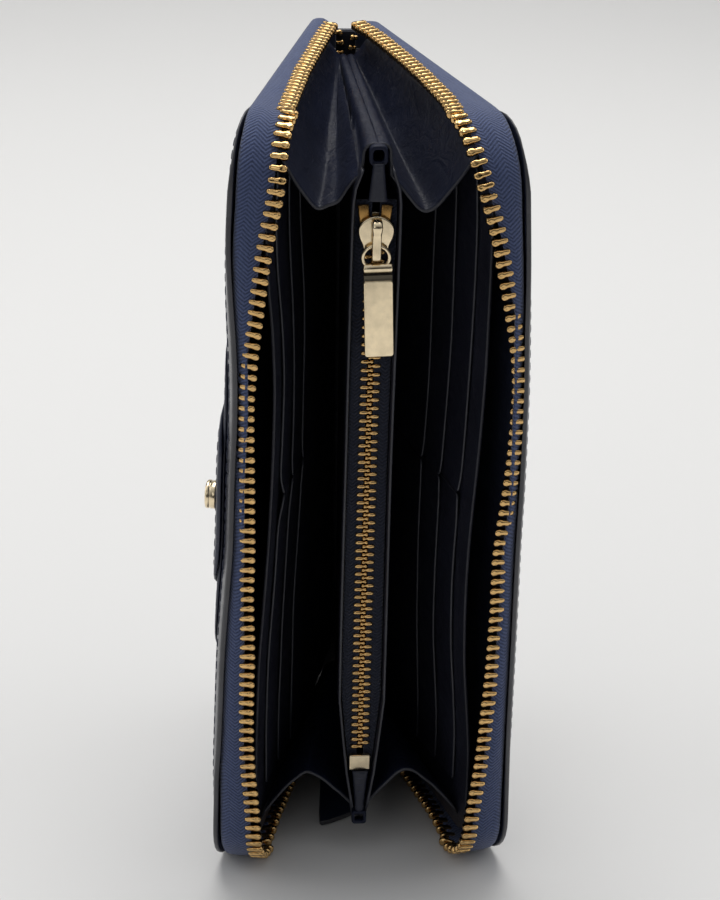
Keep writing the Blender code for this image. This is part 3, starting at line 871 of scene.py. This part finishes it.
def piece(name, build, mat, body, slot, *nodes, flat=False):
    verts, faces = [], []
    build(verts, faces)
    return put(make(name, verts, faces, mat, flat=flat), body, slot, *nodes)


def plate(name, pts, place, high, edge, mat, body, slot, *nodes, steps=3):
    return piece(name, lambda v, f: soft_plate(v, f, pts, place, 0.0, high, edge=edge, steps=steps), mat,
                 body, slot, *nodes)


# stops folded over the tape's edges
for s, side in SIDES:
    quad = [(s * 1.15 - 0.3, 168.6), (s * 3.45 - 0.3, 168.8), (s * 4.05 - 0.3, 173.4),
            (s * 1.55 - 0.3, 173.6)]
    plate("coin_top_stop_" + side, quad, lambda a, b, h: (a, 12.5 - h, b), 1.3, 0.3, M_AMBER,
          "centre", "zip_metal", "coin_stop_top_" + side)
plate("coin_foot_stop", rounded(-3.25, 2.15, 20.5, 24.8, 0.25), lambda a, b, h: (a + 0.3, 11.7 - h, b), 1.6,
      0.25, M_GOLD, "centre", "zip_metal", "coin_stop_bottom")

# the pocket's gathered ends, running up and down to the little loops
for name, d0, z0, z1, x0, x1 in (("coin_end_top", 8.2, 175.2, 184.2, 2.3, 1.3),
                                 ("coin_end_bottom", 9.3, 20.2, 7.9, 2.2, 1.1)):
    rings = []
    for t in np.linspace(0, 1, 17):
        x = x0 + (x1 - x0) * t ** 0.8
        z = z0 + (z1 - z0) * t
        arc = []
        for g in [math.pi * k / 12 for k in range(13)]:
            lip = 0.15 * math.sin(g) if t == 0 else 0.0
            arc.append((-x * math.cos(g), d0 + 0.95 - (0.95 - 0.1 * t) * math.sin(g), z + lip))
        rings.append(arc + [(x * 0.9, d0 + 1.0, z), (-x * 0.9, d0 + 1.0, z)])
    put(make(name + "_gather", *loft(rings), M_POCKET), "centre", "inner_leather", name)
v, f = [], []
for z, hw in ((18.4, 0.9), (16.3, 0.8), (14.2, 0.7)):
    capsule(v, f, (-hw, 9.36, z), (hw, 9.36, z), 0.14, (0, -1, 0))
put(make("coin_end_stitches", v, f, M_THREAD), "centre", "inner_leather")

for name, z0, z1, hw, r in (("loop_top", 183.4, 188.2, 2.15, 1.5), ("loop_bottom", 4.2, 8.0, 1.9, 0.8)):
    out = rounded(-hw, hw, z0, z1, r, n=6)
    cz, k = 0.5 * (z0 + z1), 0.6
    hole = [(x * k, cz + (z - cz) * k) for x, z in out]
    rings = [[(x, d, z) for x, z in pts] for pts, d in ((out, 9.6), (out, 11.5), (hole, 11.7), (hole, 9.5))]
    for f, d in ((0.85, 9.38), (0.07, 9.4)):
        rings.append([(a[0] * (1 - f) + b[0] * f, d, a[2] * (1 - f) + b[2] * f) for a, b in zip(rings[0],
                rings[3])])
    v, f = [], []
    rings_mesh(v, f, rings, closed=True)
    put(make(name + "_leather", v, f, M_GUS), "centre", "inner_leather", name)

# the meshed end of the main zip, tucked down inside the head of the spine
plate("zip_tail_tape", rounded(-2.6, 2.6, 183.0, 192.6, 0.8), lambda a, b, h: (a, 91.3 - h, b), 0.7, 0.2,
      M_TAPE_IN, "centre", "zip_tape", "zip_tail")
v, f = [], []
for sx in (-1, 1):
    for k in range(4):
        z = 192.4 - 2.6 * k - (1.3 if sx > 0 else 0.0)
        x0 = 1.45 + (0.5 if k == 0 else 0.0)
        add_tooth(v, f, lambda a, p, h, sx=sx, z=z, x0=x0: (sx * (x0 - 0.5 * h), 90.1 + p * 0.7, z + a * 0.9),
                  TOOTH)
put(make("zip_tail_teeth", v, f, M_BRASS), "centre", "zip_metal")

# coin zip slider
ZS = 166.5
ZL = ZS - 1.2
ZP = ZL - 6.1
half = [(0.0, 4.2), (1.5, 3.9), (3.1, 3.0), (4.0, 1.8), (4.25, 0.5), (3.9, -1.2), (3.1, -2.8), (2.9, -3.8),
        (2.2, -4.0)]


def rounder(pts, times=2):
    for _ in range(times):
        out = []
        for i, p in enumerate(pts):
            q = pts[(i + 1) % len(pts)]
            out += [(0.75 * p[0] + 0.25 * q[0], 0.75 * p[1] + 0.25 * q[1]),
                    (0.25 * p[0] + 0.75 * q[0], 0.25 * p[1] + 0.75 * q[1])]
        pts = out
    return pts


spade = rounder(half + [(-x, z) for x, z in reversed(half) if x > 0])
plate("slider_face", spade, lambda a, b, h: (a, 11.0 - h, ZS + 0.7 + b), 1.15, 0.4, M_GOLD,
      "coin_slider", "pull_metal", "coin_slider_front", steps=5)
plate("slider_rear", spade, lambda a, b, h: (a, 14.0 - h, ZS + 0.7 + b), 0.9, 0.3, M_GOLD,
      "coin_slider", "pull_metal", "coin_slider_back")


def build_bridge(v, f):
    line = rounder([(10.2, 3.4), (9.6, 3.8), (8.2, 4.1), (7.1, 3.3), (7.2, 2.0), (7.75, 0.7), (7.75, -1.5),
                    (7.6, -4.0), (7.75, -4.9), (8.4, -5.2), (9.3, -4.9)])[2:-6]
    rings = []
    for i, (d, z) in enumerate(line):
        a, b = line[max(0, i - 1)], line[min(len(line) - 1, i + 1)]
        td, tz = b[0] - a[0], b[1] - a[1]
        g = math.hypot(td, tz)
        nd, nz = -tz / g, td / g
        cap = max(0.0, 1.0 - abs(z - 3.0) / 1.9)
        hw, ht = 1.12 + 0.22 * cap, 0.42 + 0.25 * cap
        sec = []
        for k in range(16):
            t = 2 * math.pi * (k + 0.5) / 16
            c, q = math.cos(t), math.sin(t)
            m = 0.95 / max(abs(c), abs(q)) ** 0.75
            sec.append((hw * c * m, d + nd * ht * q * m, ZS + z + nz * ht * q * m))
        rings.append(sec)
    rings_mesh(v, f, rings)


piece("slider_bridge_bar", build_bridge, M_GOLD, "coin_slider", "pull_metal", "coin_slider_bridge")
ringpts = [(3.1 * math.sin(a), 8.8, ZL - 3.55 + 2.85 * math.cos(a)) for a in np.linspace(-2.3, 2.3, 30)]
ringpts += [(x, 8.8, ZP) for x in np.linspace(2.4, -2.4, 8)]
piece("coin_ring", lambda v, f: tube(v, f, ringpts, 0.46, closed=True), M_GOLD, "coin_link", "pull_metal",
      "coin_link")


def hang(x, d, z):
    """The tab hangs a little to the right."""
    return (x + 0.45 + (ZP - z) * 0.042, d, z + x * 0.042)


HALF = 3.38  # half the tab's width


def build_pull(v, f):
    soft_plate(v, f, rounded(-HALF, HALF, ZP - 21.85, ZP - 2.9, 0.7), lambda a, b, h: hang(a, 8.9 - h, b),
               0.0, 1.1, edge=0.16)
    rings = []
    round_ = [(1.15 * math.cos(a), 1.15 * math.sin(a)) for a in np.linspace(0, 2 * math.pi, 29)[:-1]]
    for x, k in ((-HALF, 0.84), (-3.28, 0.95), (-3.1, 1.0), (3.1, 1.0), (3.28, 0.95), (HALF, 0.84)):
        rings.append([hang(x, 8.75 + d * k, ZP + z * k) for d, z in round_])
    rings_mesh(v, f, rings)


def build_neck(v, f):
    """The plate's neck, running in under the roll."""
    line = [(8.3, -0.9), (8.05, -1.6), (8.0, -2.4), (7.9, -3.2), (8.7, -3.2), (8.8, -2.2), (8.9, -0.9)]
    rings_mesh(v, f, [[hang(x, d, ZP + z) for d, z in line] for x in (-3.3, 3.3)])


piece("coin_pull_tab", build_pull, M_GOLD, "coin_pull", "pull_metal", "coin_pull")
piece("coin_pull_neck", build_neck, M_SHADE, "coin_pull", "pull_metal", flat=True)

# -------------------- main slider, link and leather pull at the foot
DM = 84.0
half = [(2.0, 5.0), (3.9, 4.3), (4.6, 2.6), (4.5, 0.4), (3.7, -2.6), (3.0, -4.2), (2.0, -4.6)]
shield = rounder(half + [(-x, y) for x, y in reversed(half)])
plate("main_slider_sole", shield, lambda a, b, h: (a, DM + b, FOOT + 1.6 - h), 0.85, 0.25, M_GOLD,
      "main_slider", "pull_metal", "main_slider_outer")
plate("main_slider_top", shield, lambda a, b, h: (a, DM + b, FOOT + 4.6 + h), 0.8, 0.3, M_GOLD,
      "main_slider", "pull_metal", "main_slider_inner", steps=4)
lug = [(2.0 * math.sin(a), DM - 7.3 + 2.05 * math.cos(a),
        FOOT + 1.2) for a in np.linspace(0, 2 * math.pi, 33)[:-1]]
piece("main_link_ring", lambda v, f: tube(v, f, lug, 0.4, closed=True), M_GOLD, "main_link", "pull_metal",
      "main_link")
slabs = rounder([(-2.6, 73.8), (2.6, 73.8), (3.5, 67.0), (4.4, 60.0), (2.5, 43.8), (0.6, 27.6), (-0.6, 26.0),
                 (-8.6, 21.6), (-9.7, 22.9), (-8.2, 41.0), (-6.6, 60.0), (-4.6, 67.0)], 1)
v, f = [], []
soft_plate(v, f, slabs, lambda a, b, h: (a, b, FOOT + 0.5 + h), 0.0, 1.4, edge=0.3)
put(make("main_pull_leather", v, f, [M_OUT, M_EDGE], [1] * (7 * len(slabs)) + [0, 0]), "main_pull",
    "outer_leather", "main_pull_tab")

# -------------------- outside pocket, flap and stud on the left cover
FZ = 100.0
POCKET, FLAP = (46.0, 92.0, FZ - 44.0, FZ + 44.0), (38.0, 94.0, FZ - 26.0, FZ + 26.0)


def place_pocket(s, u, z, w):
    """Skived towards the ends."""
    return cover(s, u, z, w + 0.6 * clamp((abs(z - FZ) - 24.0) / 20.0) ** 1.5 * clamp((-w - 1.4) / 0.8))


def place_flap(s, u, z, w):
    """The flap curves over the stiffener's edge, settles on the pocket and thins towards its ends."""
    bow = 0.15 * math.sin(math.pi * clamp((u - 38.0) / 56.0))
    return cover(s, u, z, w - bow + 0.75 * clamp((abs(z - FZ) - 10.0) / 16.0) ** 2 * clamp((-w - 2.4) / 1.1))


put(panel("outer_pocket_leather", place_pocket, -1, POCKET, -2.2, -1.4, [M_OUT, M_OUT], r1=12.0, r0=3.0,
          edge=0.4, dent=seam(2.2, 0.12), nu=26), "left_cover", "outer_leather", "outer_pocket")
put(panel("flap_leather", place_flap, -1, FLAP, -3.5, -2.4, [M_OUT, M_OUT], r1=14.0, r0=2.0, edge=0.45,
          dent=seam(2.2, 0.12), nu=26), "flap", "outer_leather", "flap")
for name, body, rect, r1, w, place in (("pocket_stitches", "left_cover", POCKET, 12.0, -2.15, place_pocket),
                                       ("flap_stitches", "flap", FLAP, 14.0, -3.45, place_flap)):
    u0, lo, hi = rect[0], rect[2] + 2.2, rect[3] - 2.2
    ring = [p for p in rounded(u0 - 8.0, rect[1] - 2.2, lo, hi, r1 - 2.2, n=8) if p[0] > u0 + 2.0]
    line = [(u0 + 2.5, lo)]
    for a, b in zip(ring, ring[1:]):
        if math.hypot(b[0] - a[0], b[1] - a[1]) > 0.01:
            line += [(a[0] + (b[0] - a[0]) * q / 12, a[1] + (b[1] - a[1]) * q / 12) for q in range(12)]
    line += [ring[-1], (u0 + 2.5, hi)]
    v, f = [], []
    stitch_run(v, f, [place(-1, a, b, w) for a, b in line], (-math.cos(TH), math.sin(TH), 0), r=0.26)
    put(make(name, v, f, M_THREAD), body, "outer_leather")

STUD = ((3.0, -3.55), (3.35, -3.7), (3.45, -3.95), (3.45, -5.0), (3.3, -5.15), (3.3, -5.3), (3.5, -5.45),
        (3.5, -6.0), (3.3, -6.25), (2.7, -6.4), (1.6, -6.5), (0.5, -6.52))
turn = [2 * math.pi * k / 40 for k in range(40)]
rings = [[place_flap(-1, 87.5 + r * math.cos(g), FZ + r * math.sin(g), w) for g in turn] for r, w in STUD]
put(make("stud_head", *loft(rings), M_GOLD), "flap", "pull_metal", "stud_cap")

# -------------------- gussets
def card_x(s, d, z):
    u = (CD - d) / math.cos(TC)
    return abs(card(s, u, z, 0.8)[0])


def gusset(s, side, end, sign, zo, zi):
    """One side of a folded gusset: half of the rounded centre ridge, then down into the fold and up to the card panel."""
    nd, nq, th = 40, 49, 0.7
    under, over = [], []
    for k in range(nd):
        f = (k / (nd - 1)) ** 1.15
        d = 11.5 + f * (87.6 - 11.5)
        xo, xi = card_x(s, d, 180.0) + 0.9 if sign > 0 else card_x(s, d, 6.0) - 0.35, 0.02
        h = (15.6 if sign > 0 else 12.6) * (1 - f) ** 0.85 + 0.6
        R = (2.9 - 1.5 * f) if sign > 0 else (1.5 - 0.7 * f)
        low = 0.54 if s < 0 else 0.46
        pts = []
        for q in range(nq):
            r = (q / (nq - 1)) ** 1.3
            x = xi + (xo - xi) * r
            t = (r - low) / (low if r < low else 1 - low)
            tri = 1 - (math.sqrt(t * t + 0.04) - 0.2) / (math.sqrt(1.04) - 0.2)
            z = -h * max(0.0, tri) ** (0.95 if r < low else 0.8)
            soft = (1 - f) * math.sin(math.pi * r)
            z += 0.22 * math.sin(7.0 * f + 5 * r + s) * soft + 0.10 * math.sin(31.0 * r + 9 * f) * soft
            if s < 0 and sign > 0:
                crease = 0.5 * math.exp(-((r - 0.21) / 0.07) ** 2) - 0.9 * math.exp(-((r - 0.34 - 0.05 * f) / 0.07) ** 2)
                z += crease * min(1.0, 2.2 * (1 - f))
            if x < R:
                z = max(z, 0.1 + math.sqrt(R * R - x * x) * (0.85 if sign > 0 else 1.0))
            elif x < R * 1.5:
                k2 = (x - R) / (0.5 * R)
                z = z * k2 + min(z, 0.1) * (1 - k2)
            pts.append((x, zi + (zo - zi) * r + sign * z))
        a_row, b_row = [], []
        for i, (x, z) in enumerate(pts):
            a, b = pts[max(0, i - 1)], pts[min(nq - 1, i + 1)]
            tx, tz = b[0] - a[0], b[1] - a[1]
            g = math.hypot(tx, tz)
            nx, nz = -tz / g, tx / g
            if nz * sign < 0:
                nx, nz = -nx, -nz
            ease = min(1.0, (nq - 1 - i) / 2.0)
            if i == 0:
                nx, nz = 0.0, sign
            a_row.append((s * x, d, z))
            b_row.append((s * max(xi, x + nx * th * ease), d, z + sign * th * (1 - ease) + nz * th * ease))
        under.append(a_row)
        over.append(b_row)
    verts = [p for r in under for p in r] + [p for r in over for p in r]
    n = nd * nq
    faces, idx = [], []
    for k in range(nd - 1):
        for q in range(nq - 1):
            a = k * nq + q
            faces += [(a, a + 1, a + nq + 1, a + nq), (n + a, n + a + nq, n + a + nq + 1, n + a + 1)]
            idx += [0, 0]
    for q in range(nq - 1):
        e = (nd - 1) * nq
        faces += [(q, n + q, n + q + 1, q + 1), (e + q, e + q + 1, n + e + q + 1, n + e + q)]
        idx += [1, 1]
    for k in range(nd - 1):
        a, b = k * nq, k * nq + nq - 1
        faces += [(a, a + nq, n + a + nq, n + a), (b, n + b, n + b + nq, b + nq)]
        idx += [0, 0]
    ob = make("gusset_leather_%s_%s" % (end, side), verts, faces, [M_GUS, M_EDGE_IN], idx)
    bend(ob, "centre", side + "_card_panel", (s * 3.2, 12, zo), (s * 20.0, 12, zo), "inner_leather",
         "gusset_%s_%s" % (end, side))


for s, side in SIDES:
    gusset(s, side, "top", 1, 191.3, 184.9)
    gusset(s, side, "bottom", -1, 5.8, 7.4)

# -------------------- stage: floor, light, camera
def stage_floor():
    me = bpy.data.meshes.new("floor_sweep")
    verts, faces = [], []
    curve = [(0.9 + 0.6 * math.sin(a), 0.6 - 0.6 * math.cos(a)) for a in np.linspace(0.1, math.pi / 2, 12)]
    prof = [(-2.5, 0.0), (0.9, 0.0)] + curve + [(1.5, 3.0)]
    for y, z in prof:
        verts += [(-3.0, y, z), (3.0, y, z)]
    for i in range(len(prof) - 1):
        faces.append((2 * i, 2 * i + 1, 2 * i + 3, 2 * i + 2))
    me.from_pydata(verts, [], faces)
    me.polygons.foreach_set("use_smooth", [True] * len(me.polygons))
    m, b = base_material("backdrop", 0.9, spec=0.1)
    tc = add(m, "ShaderNodeTexCoord")
    n = set_in(add(m, "ShaderNodeTexNoise"), Scale=2.0, Detail=2.0)
    m.node_tree.links.new(tc.outputs["Object"], n.inputs["Vector"])
    r = ramp(m, n.outputs["Fac"], [(0.2, (0.735, 0.73, 0.722)), (0.8, (0.75, 0.745, 0.737))])
    m.node_tree.links.new(r.outputs["Color"], b.inputs["Base Color"])
    me.materials.append(m)
    ob = bpy.data.objects.new("floor_sweep", me)
    bpy.context.scene.collection.objects.link(ob)


stage_floor()
world = bpy.data.worlds.new("studio")
bpy.context.scene.world = world
world.use_nodes = True
wn, wl = world.node_tree.nodes, world.node_tree.links
tc = wn.new("ShaderNodeTexCoord")
dot = wn.new("ShaderNodeVectorMath")
dot.operation = "DOT_PRODUCT"
dot.inputs[1].default_value = (0.0, 0.78, 0.62)
fade = wn.new("ShaderNodeMapRange")
for k, val in (("From Min", -0.6), ("From Max", 1.0), ("To Min", 0.0), ("To Max", 0.97)):
    fade.inputs[k].default_value = val
wl.new(tc.outputs["Generated"], dot.inputs[0])
wl.new(dot.outputs["Value"], fade.inputs["Value"])
wl.new(fade.outputs["Result"], wn["Background"].inputs["Strength"])
wn["Background"].inputs["Color"].default_value = (0.96, 0.975, 1.0, 1)


def area(name, loc, target, size, power, color=(1, 1, 1)):
    li = bpy.data.lights.new(name, "AREA")
    li.energy = power
    li.color = color
    li.size = size
    ob = bpy.data.objects.new(name, li)
    bpy.context.scene.collection.objects.link(ob)
    ob.location = loc
    ob.rotation_euler = (Vector(target) - Vector(loc)).to_track_quat("-Z", "Y").to_euler()


area("key", (0.0, 0.46, 1.2), (0, 0, 0.05), 0.8, 11.0, (1.0, 0.99, 0.97))
area("left", (-0.95, 0.30, 0.45), (0, 0, 0.1), 0.7, 1.6)
area("right", (0.95, 0.20, 0.45), (0, 0, 0.1), 0.7, 1.0)
area("front", (-0.45, -0.9, 0.6), (0, 0, 0.1), 0.4, 0.45)

cam_data = bpy.data.cameras.new("camera")
cam = bpy.data.objects.new("camera", cam_data)
bpy.context.scene.collection.objects.link(cam)
bpy.context.scene.camera = cam
CAM_PITCH, CAM_DIST, CAM_F, CAM_YAW, CAM_ROLL = 25.0, 0.502, 2128.0, 4.9, 1.6
cam_data.sensor_width = 36.0
cam_data.lens = 36.0 * CAM_F / 900.0
cam_data.clip_start = 0.01
ph, ya, ro = (math.radians(a) for a in (CAM_PITCH, CAM_YAW, CAM_ROLL))
fwd = Vector((math.sin(ya) * math.cos(ph), math.cos(ya) * math.cos(ph), -math.sin(ph)))
right = Vector((math.cos(ya), -math.sin(ya), 0))
up = right.cross(fwd)
r2 = right * math.cos(ro) + up * math.sin(ro)
u2 = -right * math.sin(ro) + up * math.cos(ro)
aim = Vector(row((-3.25, 0.0, 116.85)))
rot = Matrix((r2, u2, -fwd)).transposed()
cam.matrix_world = Matrix.Translation(aim - fwd * CAM_DIST) @ rot.to_4x4()

scene = bpy.context.scene
scene.view_settings.view_transform = "Standard"
